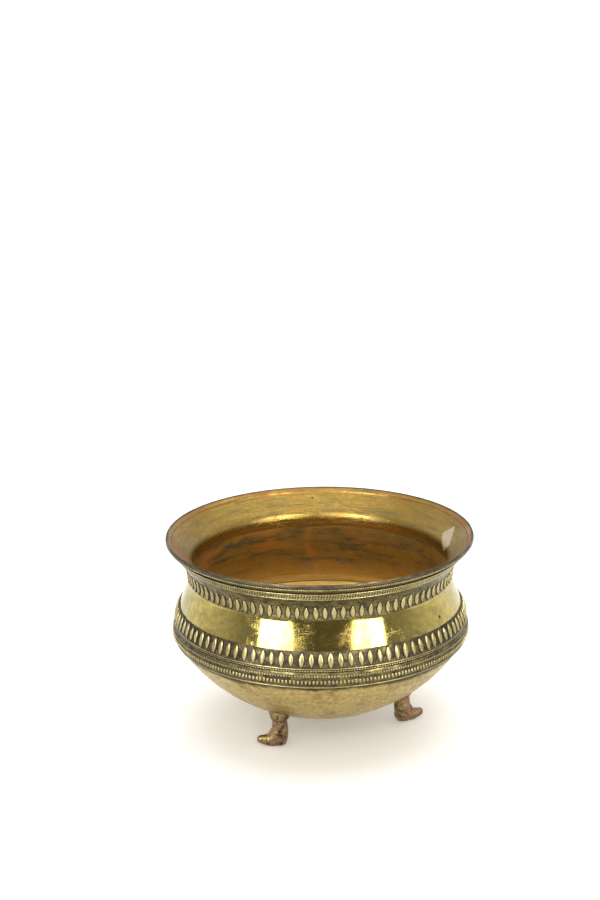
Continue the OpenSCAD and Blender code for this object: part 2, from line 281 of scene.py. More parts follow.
class Effects:
    """Builds each shared effect once, as a node group, and hands it out."""

    made: dict[Effect, bpy.types.NodeTree] = {}

    @classmethod
    def use(cls, bench: Bench, effect: Effect, **sockets: object) -> bpy.types.Node:
        """Puts a shared effect into a material.

        Args:
            bench: The material's bench.
            effect: Which effect.
            **sockets: Values or links for its inputs, by name.

        Returns:
            The group node.
        """
        if effect not in cls.made:
            cls.made[effect] = getattr(cls, effect.value.lower())()
        node = bench.add("ShaderNodeGroup", node_tree=cls.made[effect])
        for label, value in sockets.items():
            bench.feed(node.inputs[label], value)
        return node

    @staticmethod
    def tarnish() -> bpy.types.NodeTree:
        """Cloudy patches, fine mottle, streaks round the bowl and the lathe's fine lines.

        Returns:
            The group.
        """
        bench, given, out = new_group(
            "Tarnish",
            {"Patch": 14.0, "Mottle": 160.0, "Streak": 3.0, "Ring": 200.0},
            ("Patches", "Mottling", "Streaks", "Lines"),
        )
        where, turns, rings = given["Vector"], given["Streak"], given["Ring"]
        parts = bench.split(where)
        level = bench.add("ShaderNodeCombineXYZ", {0: parts[0], 1: parts[1]}).outputs[0]
        radius = bench.add("ShaderNodeVectorMath", {0: level}, operation="LENGTH").outputs["Value"]
        unit = bench.add("ShaderNodeVectorMath", {0: level}, operation="NORMALIZE").outputs[0]
        up_the_wall = bench.sum("MULTIPLY_ADD", radius, 0.6, parts[2])

        def around(turns: object, rings: object) -> bpy.types.NodeSocket:
            """A place that changes slowly round the bowl and fast up its wall.

            Args:
                turns: How fast it changes round the bowl.
                rings: How fast it changes up the wall, per metre.

            Returns:
                The place.
            """
            climb = bench.sum("MULTIPLY", up_the_wall, rings)
            raised = bench.add("ShaderNodeCombineXYZ", {2: climb}).outputs[0]
            return bench.vector("ADD", bench.vector("SCALE", unit, turns), raised)

        fine_turns = bench.sum("MULTIPLY", turns, 1.5)
        bench.feed(out.inputs["Patches"], bench.grain(where, given["Patch"], 5.0, 0.6, 0.6))
        bench.feed(out.inputs["Mottling"], bench.grain(where, given["Mottle"], 6.0, 0.62))
        bench.feed(out.inputs["Streaks"], bench.grain(around(turns, rings), 1.0, 7.0, 0.66, 0.4))
        bench.feed(out.inputs["Lines"], bench.grain(around(fine_turns, LATHE_LINES), 1.0, 3.0, 0.6))
        return bench.tree

    @staticmethod
    def pits() -> bpy.types.NodeTree:
        """Small scattered pits: 1 inside a pit, 0 on the sound metal.

        Returns:
            The group.
        """
        bench, given, out = new_group("Pits", {"Scale": 60.0, "Share": 0.1, "Width": 0.16}, ("Mask",))
        sockets = {"Vector": given["Vector"], "Scale": given["Scale"], "Randomness": 1.0}
        cells = bench.add("ShaderNodeTexVoronoi", sockets)
        ragged = bench.grain(given["Vector"], 900.0, 2.0)
        far = bench.sum("MULTIPLY_ADD", ragged, 0.2, cells.outputs["Distance"])
        inside = bench.ramp(far, given["Width"], bench.sum("MULTIPLY", given["Width"], 1.9), 1.0, 0.0)
        lot = bench.add("ShaderNodeSeparateColor", {0: cells.outputs["Color"]})
        chosen = bench.sum("LESS_THAN", lot.outputs[0], given["Share"])
        bench.feed(out.inputs["Mask"], bench.sum("MULTIPLY", inside, chosen))
        return bench.tree

    @staticmethod
    def scratches() -> bpy.types.NodeTree:
        """Fine hairlines from polishing and use, mostly round the bowl, some across.

        Returns:
            The group.
        """
        bench, given, out = new_group("Scratches", {"Scale": 40.0}, ("Mask",))
        masks = []
        for stretch, width in (((1.0, 1.0, 30.0), 0.010), ((9.0, 0.8, 2.0), 0.006), ((0.8, 8.0, 3.0), 0.006)):
            along = bench.vector("MULTIPLY", given["Vector"], stretch)
            line = bench.grain(along, given["Scale"], 2.0, 0.5, 0.3)
            off = bench.sum("ABSOLUTE", bench.sum("SUBTRACT", line, 0.5))
            masks.append(bench.ramp(off, 0.0, width, 1.0, 0.0))
        broken = bench.ramp(bench.grain(given["Vector"], 45.0, 2.0), 0.5, 0.62)
        both = bench.sum("MAXIMUM", masks[0], bench.sum("MAXIMUM", masks[1], masks[2]))
        bench.feed(out.inputs["Mask"], bench.sum("MULTIPLY", both, broken))
        return bench.tree

    @staticmethod
    def planishing() -> bpy.types.NodeTree:
        """Overlapping shallow hammer marks, as a height.

        Returns:
            The group.
        """
        bench, given, out = new_group("Planishing", {"Scale": 90.0}, ("Height",))
        sockets = {"Vector": given["Vector"], "Scale": given["Scale"], "Randomness": 1.0}
        marks = bench.add("ShaderNodeTexVoronoi", sockets, feature="SMOOTH_F1")
        soft = bench.grain(given["Vector"], 55.0, 3.0)
        bench.feed(out.inputs["Height"], bench.sum("MULTIPLY_ADD", soft, 0.8, marks.outputs["Distance"]))
        return bench.tree

    @staticmethod
    def wear() -> bpy.types.NodeTree:
        """How far raised work is rubbed bright: 1 on the tops, 0 in the recesses.

        Returns:
            The group.
        """
        bench, given, out = new_group("Wear", {"Height": 0.0, "Start": 0.3, "End": 0.8}, ("Mask",))
        uneven = bench.grain(given["Vector"], 300.0, 4.0, 0.6)
        broad = bench.grain(given["Vector"], 22.0, 2.0)
        lifted = bench.sum("MULTIPLY_ADD", bench.sum("SUBTRACT", uneven, 0.5), 0.5, given["Height"])
        lifted = bench.sum("MULTIPLY_ADD", bench.sum("SUBTRACT", broad, 0.5), 0.45, lifted)
        bench.feed(out.inputs["Mask"], bench.ramp(lifted, given["Start"], given["End"]))
        return bench.tree

    @staticmethod
    def residue() -> bpy.types.NodeTree:
        """The pale film of glue that a removed label left, aslant, inside the flare.

        Returns:
            The group.
        """
        sizes = {"Angle": 0.216, "Level": 0.1855, "Turn": 0.56, "Long": 0.017, "Wide": 0.0085}
        bench, given, out = new_group("Residue", sizes, ("Mask",))
        parts = bench.split(given["Vector"])
        angle = bench.sum("ARCTAN2", parts[1], parts[0])
        round_by = bench.sum("MULTIPLY", bench.sum("SUBTRACT", angle, given["Angle"]), FLARE_RADIUS)
        climb = bench.sum("MULTIPLY", bench.sum("SUBTRACT", parts[2], given["Level"]), FLARE_SLOPE)
        place = bench.add("ShaderNodeCombineXYZ", {0: round_by, 1: climb}).outputs[0]
        lean = bench.add("ShaderNodeCombineXYZ", {2: bench.sum("MULTIPLY", given["Turn"], -1.0)}).outputs[0]
        turned_place = bench.add("ShaderNodeVectorRotate", {0: place, 4: lean}, rotation_type="EULER_XYZ")
        across = bench.split(turned_place.outputs[0])
        ragged = bench.grain(given["Vector"], 420.0, 3.0)
        masks = []
        for side, reach in ((0, "Long"), (1, "Wide")):
            off = bench.sum("MULTIPLY_ADD", ragged, 0.001, bench.sum("ABSOLUTE", across[side]))
            edge = bench.sum("MULTIPLY", given[reach], 0.93)
            masks.append(bench.ramp(off, edge, given[reach], 1.0, 0.0))
        thin = bench.ramp(ragged, 0.3, 0.7, 0.8, 0.5)
        inside = bench.sum("MULTIPLY", masks[0], masks[1])
        bench.feed(out.inputs["Mask"], bench.sum("MULTIPLY", thin, inside))
        return bench.tree


# ---------------------------------------------------------------- finishes


GLUE = tint(206, 192, 168)


@dataclass
class Coat:
    """What one finish comes to: its colour, roughness, metal share and height, and their masks."""

    colour: bpy.types.NodeSocket
    rough: bpy.types.NodeSocket
    metal: bpy.types.NodeSocket
    height: bpy.types.NodeSocket
    shade: bpy.types.NodeSocket
    mottling: bpy.types.NodeSocket
    clouds: bpy.types.NodeSocket


@dataclass(frozen=True)
class Brass:
    """A brass finish: its colours from bright to stained, and how they lie on the metal.

    Bright metal is broken by tarnish in patches, mottle and streaks, then by stains, a
    second stain, pits and hairlines. On raised work the relief decides what is bright.
    """

    name: str
    bright: Colour
    tarnish: Colour
    stain: Colour
    second: Colour
    shine: float = 0.2
    dull: float = 0.45
    patch: float = 14.0
    mottle: float = 160.0
    streak: float = 3.0
    ring: float = 200.0
    patch_from: float = 0.45
    patch_to: float = 0.62
    stain_from: float = 0.56
    stain_to: float = 0.66
    second_from: float = 0.6
    second_to: float = 0.7
    mottle_share: float = 0.35
    turning: float = 0.0
    level_from: float = 0.0
    level_to: float = 0.0
    level_share: float = 0.85
    level_colour: Colour = tint(196, 148, 62)
    film: bool = False
    pit_scale: float = 60.0
    pit_share: float = 0.06
    pit_colour: Colour = tint(52, 40, 22)
    scratch_share: float = 0.5
    grain_bump: float = 0.05
    hammer_bump: float = 0.0
    hammer_scale: float = 90.0
    raised: bool = False
    wear_from: float = 0.3
    wear_to: float = 0.8
    clean_metal: float = 1.0
    stained_metal: float = 0.75

    def material(self) -> bpy.types.Material:
        """Builds the finish, once by name.

        Returns:
            The material.
        """
        known = bpy.data.materials.get(self.name)
        if known is not None:
            return known
        made = bpy.data.materials.new(self.name)
        made.use_nodes = True
        made.node_tree.nodes.clear()
        bench = Bench(made.node_tree)
        where = bench.add("ShaderNodeTexCoord").outputs["Object"]
        coat = self.tarnished(bench, where)
        if self.level_to:
            self.paint_light_and_tint_by_height(bench, where, coat)
        if self.raised:
            self.wear_tops(bench, where, coat)
        if self.film:
            self.lay_film(bench, where, coat)
        self.mark(bench, where, coat)
        bump = bench.add("ShaderNodeBump", {"Strength": 1.0, "Distance": 0.001, "Height": coat.height})
        sockets = {"Base Color": coat.colour, "Metallic": coat.metal, "Roughness": coat.rough}
        surface = bench.add("ShaderNodeBsdfPrincipled", sockets | {"Normal": bump.outputs[0]})
        output = bench.add("ShaderNodeOutputMaterial")
        bench.feed(output.inputs["Surface"], surface.outputs[0])
        return made

    def tarnished(self, bench: Bench, where: bpy.types.NodeSocket) -> Coat:
        """Bright metal under tarnish, stains and second stains.

        Args:
            bench: The material's bench.
            where: The place on the bowl.

        Returns:
            The coat so far.
        """
        tarnish = Effects.use(
            bench, Effect.TARNISH, Vector=where, Patch=self.patch, Mottle=self.mottle, Streak=self.streak,
            Ring=self.ring,
        ).outputs
        patches = bench.ramp(tarnish["Patches"], self.patch_from, self.patch_to)
        stains = bench.ramp(tarnish["Streaks"], self.stain_from, self.stain_to)
        mottling = bench.ramp(tarnish["Mottling"], 0.36, 0.66)
        lines = bench.ramp(tarnish["Lines"], 0.38, 0.62)
        cloudy = bench.sum("MULTIPLY", tarnish["Patches"], 1.6)
        unstreaked = bench.sum("MULTIPLY_ADD", tarnish["Streaks"], -0.6, cloudy)
        seconds = bench.ramp(unstreaked, self.second_from, self.second_to)
        patched = bench.sum("MULTIPLY", patches, 1 - self.mottle_share)
        shade = bench.sum("MULTIPLY_ADD", mottling, self.mottle_share, patched)
        height = bench.sum("MULTIPLY", tarnish["Mottling"], self.grain_bump)
        if self.turning:
            kept = bench.sum("MULTIPLY", shade, 1 - self.turning)
            shade = bench.sum("MULTIPLY_ADD", lines, self.turning, kept)
            height = bench.sum("MULTIPLY_ADD", lines, -0.25 * self.turning, height)
        colour = bench.mix(shade, self.bright, self.tarnish)
        colour = bench.mix(seconds, bench.mix(stains, colour, self.stain), self.second)
        rough = bench.ramp(bench.sum("MAXIMUM", shade, stains), 0.0, 1.0, self.shine, self.dull)
        foul = bench.sum("MAXIMUM", stains, seconds)
        metal = bench.ramp(foul, 0.0, 1.0, self.clean_metal, self.stained_metal)
        return Coat(colour, rough, metal, height, shade, mottling, tarnish["Patches"])

    def paint_light_and_tint_by_height(self, bench: Bench, where: bpy.types.NodeSocket, coat: Coat) -> None:
        """Lays the level's colour above level_from, or below it where level_to is lower. In the interior this
        is painted light, a golden pool low on the wall; on the hammered bowl it is a darker band at its top.

        Args:
            bench: The material's bench.
            where: The place on the bowl.
            coat: The coat, which is changed.
        """
        wander = abs(self.level_to - self.level_from)
        off = bench.sum("SUBTRACT", coat.clouds, 0.5)
        wavy = bench.sum("MULTIPLY_ADD", off, 2 * wander, bench.split(where)[2])
        reached = bench.ramp(wavy, self.level_from, self.level_to, 0.0, self.level_share)
        coat.colour = bench.mix(reached, coat.colour, self.level_colour)

    def wear_tops(self, bench: Bench, where: bpy.types.NodeSocket, coat: Coat) -> None:
        """Rubs the raised work bright and leaves the stains in its recesses. Where a row lowered the relief
        on its marks' right sides, these stay darker as painted shade.

        Args:
            bench: The material's bench.
            where: The place on the bowl.
            coat: The coat, which is changed.
        """
        relief = bench.add("ShaderNodeAttribute", attribute_name=RELIEF).outputs["Fac"]
        wear = Effects.use(
            bench, Effect.WEAR, Vector=where, Height=relief, Start=self.wear_from, End=self.wear_to
        ).outputs["Mask"]
        grime = bench.mix(coat.mottling, self.stain, self.second)
        coat.colour = bench.mix(wear, grime, bench.mix(coat.shade, self.bright, self.tarnish))
        coat.rough = bench.ramp(wear, 0.0, 1.0, self.dull, self.shine)
        coat.metal = bench.ramp(wear, 0.0, 1.0, self.stained_metal, self.clean_metal)

    def lay_film(self, bench: Bench, where: bpy.types.NodeSocket, coat: Coat) -> None:
        """Lays the pale glue film over the metal.

        Args:
            bench: The material's bench.
            where: The place on the bowl.
            coat: The coat, which is changed.
        """
        residue = Effects.use(bench, Effect.RESIDUE, Vector=where).outputs["Mask"]
        coat.colour = bench.mix(residue, coat.colour, GLUE)
        coat.rough = bench.sum("MULTIPLY_ADD", residue, 0.3, coat.rough)
        coat.metal = bench.sum("SUBTRACT", coat.metal, bench.sum("MULTIPLY", residue, 0.8))

    def mark(self, bench: Bench, where: bpy.types.NodeSocket, coat: Coat) -> None:
        """Adds the pits, the hairlines and the hammer marks.

        Args:
            bench: The material's bench.
            where: The place on the bowl.
            coat: The coat, which is changed.
        """
        pits = Effects.use(
            bench, Effect.PITS, Vector=where, Scale=self.pit_scale, Share=self.pit_share
        ).outputs["Mask"]
        hairlines = Effects.use(bench, Effect.SCRATCHES, Vector=where).outputs["Mask"]
        scored = bench.sum("MULTIPLY", hairlines, self.scratch_share)
        coat.colour = bench.mix(pits, coat.colour, self.pit_colour)
        coat.colour = bench.mix(bench.sum("MULTIPLY", scored, 0.5), coat.colour, self.pit_colour)
        coat.height = bench.sum("MULTIPLY_ADD", pits, -0.25, coat.height)
        coat.height = bench.sum("MULTIPLY_ADD", scored, -0.05, coat.height)
        if self.hammer_bump:
            marks = Effects.use(bench, Effect.PLANISHING, Vector=where, Scale=self.hammer_scale)
            coat.height = bench.sum("MULTIPLY_ADD", marks.outputs["Height"], self.hammer_bump, coat.height)


POLISHED = Brass(
    "polished_shoulder",
    bright=tint(184, 166, 97),
    tarnish=tint(136, 121, 61),
    stain=tint(112, 94, 42),
    second=tint(188, 158, 96),
    shine=0.06,
    dull=0.15,
    patch=11.0,
    mottle=150.0,
    streak=6.0,
    ring=60.0,
    stain_from=0.52,
    stain_to=0.85,
    second_from=0.66,
    second_to=0.86,
    mottle_share=0.5,
    pit_scale=75.0,
    pit_share=0.07,
    scratch_share=0.25,
    grain_bump=0.014,
)
HAMMERED = Brass(
    "hammered_bowl",
    bright=tint(200, 177, 114),
    tarnish=tint(142, 124, 64),
    stain=tint(100, 86, 44),
    second=tint(172, 148, 98),
    shine=0.34,
    dull=0.5,
    patch=26.0,
    mottle=230.0,
    streak=5.0,
    ring=50.0,
    stain_from=0.54,
    stain_to=0.8,
    mottle_share=0.6,
    pit_scale=110.0,
    pit_share=0.12,
    grain_bump=0.2,
    hammer_bump=0.3,
    hammer_scale=85.0,
    # A darker band round the top of the bowl, just under the seam.
    level_from=0.0875,
    level_to=0.0925,
    level_share=0.9,
    level_colour=tint(44, 38, 24),
)
FLARE_INSIDE = Brass(
    "golden_flare",
    bright=tint(158, 130, 67),
    tarnish=tint(122, 98, 45),
    stain=tint(100, 94, 58),
    second=tint(162, 106, 46),
    shine=0.26,
    dull=0.42,
    patch=12.0,
    mottle=220.0,
    streak=3.0,
    ring=190.0,
    stain_from=0.46,
    stain_to=0.78,
    second_from=0.5,
    second_to=0.78,
    mottle_share=0.45,
    turning=0.3,
    pit_scale=130.0,
    pit_share=0.035,
    grain_bump=0.1,
    film=True,
)
FLARE_OUTSIDE = Brass(
    "brown_cavetto",
    bright=tint(140, 120, 72),
    tarnish=tint(98, 80, 46),
    stain=tint(90, 72, 44),
    second=tint(116, 98, 68),
    shine=0.34,
    dull=0.52,
    mottle=380.0,
    streak=5.0,
    ring=160.0,
    stain_from=0.45,
    stain_to=0.7,
    turning=0.5,
    grain_bump=0.15,
    clean_metal=0.8,
    stained_metal=0.6,
)
# The lap is a more orange brass than the flare: partly its own tarnish, partly a painted reflection of the
# orange interior.
LAP = replace(FLARE_INSIDE, name="golden_lap", bright=tint(160, 128, 66), tarnish=tint(132, 94, 44),
              second=tint(146, 88, 40), second_from=0.46, second_to=0.7, film=False)
INTERIOR = Brass(
    "dark_interior",
    bright=tint(162, 134, 62),
    tarnish=tint(118, 96, 45),
    stain=tint(82, 78, 58),
    second=tint(176, 122, 48),
    shine=0.38,
    dull=0.55,
    patch=16.0,
    mottle=190.0,
    streak=2.6,
    ring=120.0,
    patch_from=0.38,
    patch_to=0.68,
    stain_from=0.44,
    stain_to=0.68,
    second_from=0.5,
    second_to=0.72,
    mottle_share=0.4,
    turning=0.25,
    # Painted light: below about 105 to 135 mm the wall turns golden, a painted pool of light where the lower
    # wall catches light from above.
    level_from=0.135,
    level_to=0.105,
    level_colour=tint(186, 144, 58),
    pit_scale=50.0,
    pit_share=0.04,
    pit_colour=tint(226, 216, 190),
    grain_bump=0.12,
    clean_metal=0.5,
    stained_metal=0.35,
)
LIP = Brass(
    "lip_patina",
    bright=tint(108, 98, 72),
    tarnish=tint(54, 48, 34),
    stain=tint(44, 39, 28),
    second=tint(74, 68, 54),
    shine=0.28,
    dull=0.48,
    patch=40.0,
    mottle=520.0,
    streak=7.0,
    ring=300.0,
    patch_from=0.36,
    patch_to=0.56,
    stain_from=0.48,
    stain_to=0.66,
    mottle_share=0.55,
    turning=0.5,
    grain_bump=0.3,
    stained_metal=0.7,
)
NECK_BAND = Brass(
    "neck_band_patina",
    bright=tint(140, 129, 86),
    tarnish=tint(80, 72, 45),
    stain=tint(46, 40, 27),
    second=tint(74, 67, 49),
    shine=0.12,
    dull=0.36,
    patch=80.0,
    mottle=560.0,
    streak=12.0,
    ring=200.0,
    patch_from=0.36,
    patch_to=0.62,
    stain_from=0.44,
    stain_to=0.68,
    mottle_share=0.6,
    turning=0.3,
    grain_bump=0.3,
    stained_metal=0.7,
)
BELLY_BAND = replace(NECK_BAND, name="belly_band_patina", bright=tint(124, 112, 75), tarnish=tint(66, 58, 39),
                     stain=tint(46, 39, 27), second=tint(72, 64, 50), shine=0.3, dull=0.5, stain_from=0.36,
                     stain_to=0.6)
BEAD_BAND = replace(NECK_BAND, name="bead_band_patina", bright=tint(132, 120, 79), tarnish=tint(74, 66, 42),
                    stain=tint(50, 43, 29), second=tint(78, 71, 53), shine=0.3, dull=0.5, turning=0.5,
                    stain_from=0.4, stain_to=0.64)
ROPES = Brass(
    "chased_ropes",
    bright=tint(190, 178, 124),
    tarnish=tint(122, 108, 66),
    stain=tint(44, 37, 26),
    second=tint(72, 63, 44),
    shine=0.26,
    dull=0.55,
    mottle=500.0,
    mottle_share=0.6,
    raised=True,
    wear_from=0.5,
    wear_to=0.95,
    grain_bump=0.12,
    pit_share=0.0,
    stained_metal=0.5,
)
PETALS = Brass(
    "worn_petals",
    bright=tint(188, 174, 122),
    tarnish=tint(136, 122, 74),
    stain=tint(42, 35, 25),
    second=tint(68, 59, 42),
    shine=0.34,
    dull=0.55,
    mottle=420.0,
    mottle_share=0.55,
    raised=True,
    wear_from=0.14,
    wear_to=0.42,
    grain_bump=0.1,
    pit_share=0.02,
    clean_metal=0.85,
    stained_metal=0.55,
)
SOLDER = Brass(
    "dark_solder",
    bright=tint(120, 106, 66),
    tarnish=tint(80, 68, 42),
    stain=tint(46, 38, 26),
    second=tint(66, 56, 40),
    shine=0.4,
    dull=0.6,
    patch=60.0,
    mottle=400.0,
    stain_from=0.42,
    stain_to=0.58,
    grain_bump=0.3,
    stained_metal=0.5,
)
CAST = Brass(
    "cast_feet",
    bright=tint(154, 126, 97),
    tarnish=tint(94, 73, 54),
    stain=tint(48, 37, 28),
    second=tint(140, 128, 72),
    shine=0.3,
    dull=0.5,
    patch=60.0,
    mottle=420.0,
    streak=14.0,
    ring=160.0,
    stain_from=0.5,
    stain_to=0.64,
    second_from=0.56,
    second_to=0.68,
    mottle_share=0.5,
    pit_scale=240.0,
    pit_share=0.12,
    grain_bump=0.35,
    stained_metal=0.7,
)


# ---------------------------------------------------------------- shaping


def clear_selection() -> None:
    """Leaves edit mode and deselects everything, so that an operator acts on its own piece."""
    if bpy.context.object is not None and bpy.context.object.mode != "OBJECT":
        bpy.ops.object.mode_set(mode="OBJECT")
    bpy.ops.object.select_all(action="DESELECT")


def take(piece: bpy.types.Object) -> None:
    """Makes one piece the selected and active one.

    Args:
        piece: The piece.
    """
    clear_selection()
    piece.select_set(True)
    bpy.context.view_layer.objects.active = piece


def apply_modifiers(piece: bpy.types.Object) -> None:
    """Applies every modifier of a piece, in order.

    Args:
        piece: The piece.
    """
    take(piece)
    for modifier in list(piece.modifiers):
        bpy.ops.object.modifier_apply(modifier=modifier.name)


def turned(name: str, outline: Outline, segments: int = 256) -> bpy.types.Object:
    """Spins a closed outline round the bowl's axis, as on a lathe.

    Args:
        name: The piece's name.
        outline: Radius and height of each corner, in metres, once round the section.
        segments: Steps round the axis.

    Returns:
        The piece.
    """
    clear_selection()
    bpy.ops.mesh.primitive_circle_add(vertices=len(outline), radius=0.1)
    piece = bpy.context.object
    piece.name = piece.data.name = name
    for vertex, (radius, height) in zip(piece.data.vertices, outline):
        vertex.co = (radius, 0.0, height)
    bpy.ops.object.mode_set(mode="EDIT")
    bpy.ops.mesh.select_all(action="SELECT")
    bpy.ops.mesh.spin(steps=segments, angle=2 * math.pi, center=(0, 0, 0), axis=(0, 0, 1))
    bpy.ops.mesh.select_all(action="SELECT")
    bpy.ops.mesh.remove_doubles(threshold=TINY)
    bpy.ops.mesh.delete_loose(use_verts=True, use_edges=True, use_faces=False)
    bpy.ops.mesh.select_all(action="SELECT")
    bpy.ops.mesh.normals_make_consistent(inside=False)
    bpy.ops.object.mode_set(mode="OBJECT")
    return piece


def uneven(piece: bpy.types.Object, depth: float, size: float) -> None:
    """Gives a face the slight unevenness of hand work.

    Args:
        piece: The piece.
        depth: Full depth of the waves, in metres.
        size: Width of one wave, in metres.
    """
    label = f"{piece.name}_waves_{size * 1000:.0f}"
    clouds = bpy.data.textures.new(label, "CLOUDS")
    clouds.noise_scale = size
    clouds.noise_depth = 1
    modifier = piece.modifiers.new(label, "DISPLACE")
    modifier.texture = clouds
    modifier.texture_coords = "LOCAL"
    modifier.strength = depth
    modifier.mid_level = 0.5
    apply_modifiers(piece)


def smooth(piece: bpy.types.Object, angle: float = 40.0) -> None:
    """Shades a piece smooth, with crisp edges above an angle in degrees."""
    take(piece)
    bpy.ops.object.shade_smooth_by_angle(angle=math.radians(angle))


def joined(name: str, pieces: Sequence[bpy.types.Object]) -> bpy.types.Object:
    """Joins pieces into the first one.

    Args:
        name: The joined piece's name.
        pieces: What is joined.

    Returns:
        The joined piece.
    """
    clear_selection()
    for piece in pieces:
        piece.select_set(True)
    bpy.context.view_layer.objects.active = pieces[0]
    bpy.ops.object.join()
    result = bpy.context.object
    result.name = result.data.name = name
    return result


def finish_piece(piece: bpy.types.Object, finishes: Sequence[Brass], nodes: Sequence[str]) -> None:
    """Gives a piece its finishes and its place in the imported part, and logs it.

    Args:
        piece: The piece.
        finishes: One finish for each material index.
        nodes: The CAD nodes it stands for.
    """
    piece.data.materials.clear()
    for finish in finishes:
        piece.data.materials.append(finish.material())
    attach(piece, BODY)
    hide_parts(*nodes)
    LOG.info("%s: %d faces, stands for %s", piece.name, len(piece.data.polygons), ", ".join(nodes))


@dataclass
class Face:
    """One turned face of the part: radius over height, with the length along it."""

    radii: np.ndarray
    heights: np.ndarray
    lengths: np.ndarray = field(init=False)

    def __post_init__(self) -> None:
        """Measures the length along the face."""
        steps = np.hypot(np.diff(self.radii), np.diff(self.heights))
        self.lengths = np.concatenate([[0.0], np.cumsum(steps)])

    def at(self, lengths: np.ndarray) -> tuple[np.ndarray, np.ndarray, np.ndarray, np.ndarray]:
        """Places on the face.

        Args:
            lengths: Lengths along it.

        Returns:
            Radius, height and the outward direction's two parts at each length.
        """
        radius = np.interp(lengths, self.lengths, self.radii)
        height = np.interp(lengths, self.lengths, self.heights)
        after, before = lengths + LOOK_ROUND, lengths - LOOK_ROUND
        rise_r, rise_z = (
            np.interp(after, self.lengths, parts) - np.interp(before, self.lengths, parts)
            for parts in (self.radii, self.heights)
        )
        size = np.maximum(np.hypot(rise_r, rise_z), 1e-9)
        return radius, height, rise_z / size, -rise_r / size

    def length_at(self, height: float) -> float:
        """The length along the face at a height."""
        return float(np.interp(height, self.heights, self.lengths))

    def radius_at(self, height: float) -> float:
        """The radius of the face at a height."""
        return float(np.interp(height, self.heights, self.radii))

    def points(self, low: float, high: float, step: float, out: float = 0.0) -> Outline:
        """The face as outline points from low to high.

        Args:
            low: Lowest height.
            high: Highest height.
            step: Spacing along the face.
            out: How far outside the face the points lie.

        Returns:
            Radius and height of each point.
        """
        start, end = self.length_at(low), self.length_at(high)
        lengths = np.linspace(start, end, max(2, int(round((end - start) / step)) + 1))
        radius, height, out_r, out_z = self.at(lengths)
        return list(zip((radius + out * out_r).tolist(), (height + out * out_z).tolist()))


class Gauge:
    """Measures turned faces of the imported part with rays."""

    def __init__(self, nodes: Sequence[str], parts: dict[str, bpy.types.Object]) -> None:
        """Builds the surfaces of the named nodes.

        Args:
            nodes: The CAD nodes that are measured.
            parts: Every CAD node by name.
        """
        corners: list[Vector] = []
        faces: list[list[int]] = []
        for node in nodes:
            mesh = parts[node].data
            first = len(corners)
            corners.extend(vertex.co.copy() for vertex in mesh.vertices)
            faces.extend([first + index for index in polygon.vertices] for polygon in mesh.polygons)
        self.tree = BVHTree.FromPolygons(corners, faces)
        self.low = min(corner.z for corner in corners)
        self.high = max(corner.z for corner in corners)

    def level(self, low: float, high: float, outside: bool, step: float = 0.5 * MM) -> Face:
        """A face measured by level rays.

        Args:
            low: Lowest height.
            high: Highest height.
            outside: Whether it is the outer face.
            step: Spacing in height.

        Returns:
            The face, from low to high.
        """
        found = []
        for height in np.linspace(low, high, int((high - low) / step) + 1):
            start = Vector((FAR if outside else 0.0, TINY, float(height)))
            way = Vector((-1.0 if outside else 1.0, 0.0, 0.0))
            hit = self.tree.ray_cast(start, way)[0]
            if hit is not None:
                found.append((hit.x, float(height)))
        return self.cleaned(found)

    def polar(self, centre: float, last: float, outside: bool, count: int = 150) -> Face:
        """A dish's face measured by rays that fan out from a point on the axis.

        Args:
            centre: The point's height.
            last: The last ray's angle from straight down, in degrees.
            outside: Whether it is the outer face.
            count: How many rays.

        Returns:
            The face, from the axis outwards.
        """
        middle = Vector((0.0, TINY, centre))
        found = []
        for angle in np.radians(np.linspace(0.0, last, count)):
            way = Vector((math.sin(angle), 0.0, -math.cos(angle)))
            start = middle + way * FAR if outside else middle
            hit = self.tree.ray_cast(start, -way if outside else way)[0]
            if hit is not None:
                found.append((max(hit.x, 0.0), hit.z))
        return self.cleaned(found)

    @staticmethod
    def cleaned(found: Outline) -> Face:
        """Evens out the small flats of the measured surface.

        Args:
            found: Radius and height of each place that a ray hit.

        Returns:
            The face.
        """
        places = np.array(found)
        padded = np.pad(places, ((2, 2), (0, 0)), mode="reflect", reflect_type="odd")
        even = sum(padded[shift : shift + len(places)] for shift in range(5)) / 5
        return Face(even[:, 0], even[:, 1])


def set_relief(piece: bpy.types.Object, values: np.ndarray) -> None:
    """Stores how far each point of a piece stands up, from 0 to 1."""
    layer = piece.data.attributes.get(RELIEF) or piece.data.attributes.new(RELIEF, "FLOAT", "POINT")
    layer.data.foreach_set("value", np.clip(values, 0, 1).astype(np.float32))


class Punch(Enum):
    """The shapes that are struck or laid in rows."""

    PETAL = "petal"
    BEAD = "bead"
    STRAND = "strand"


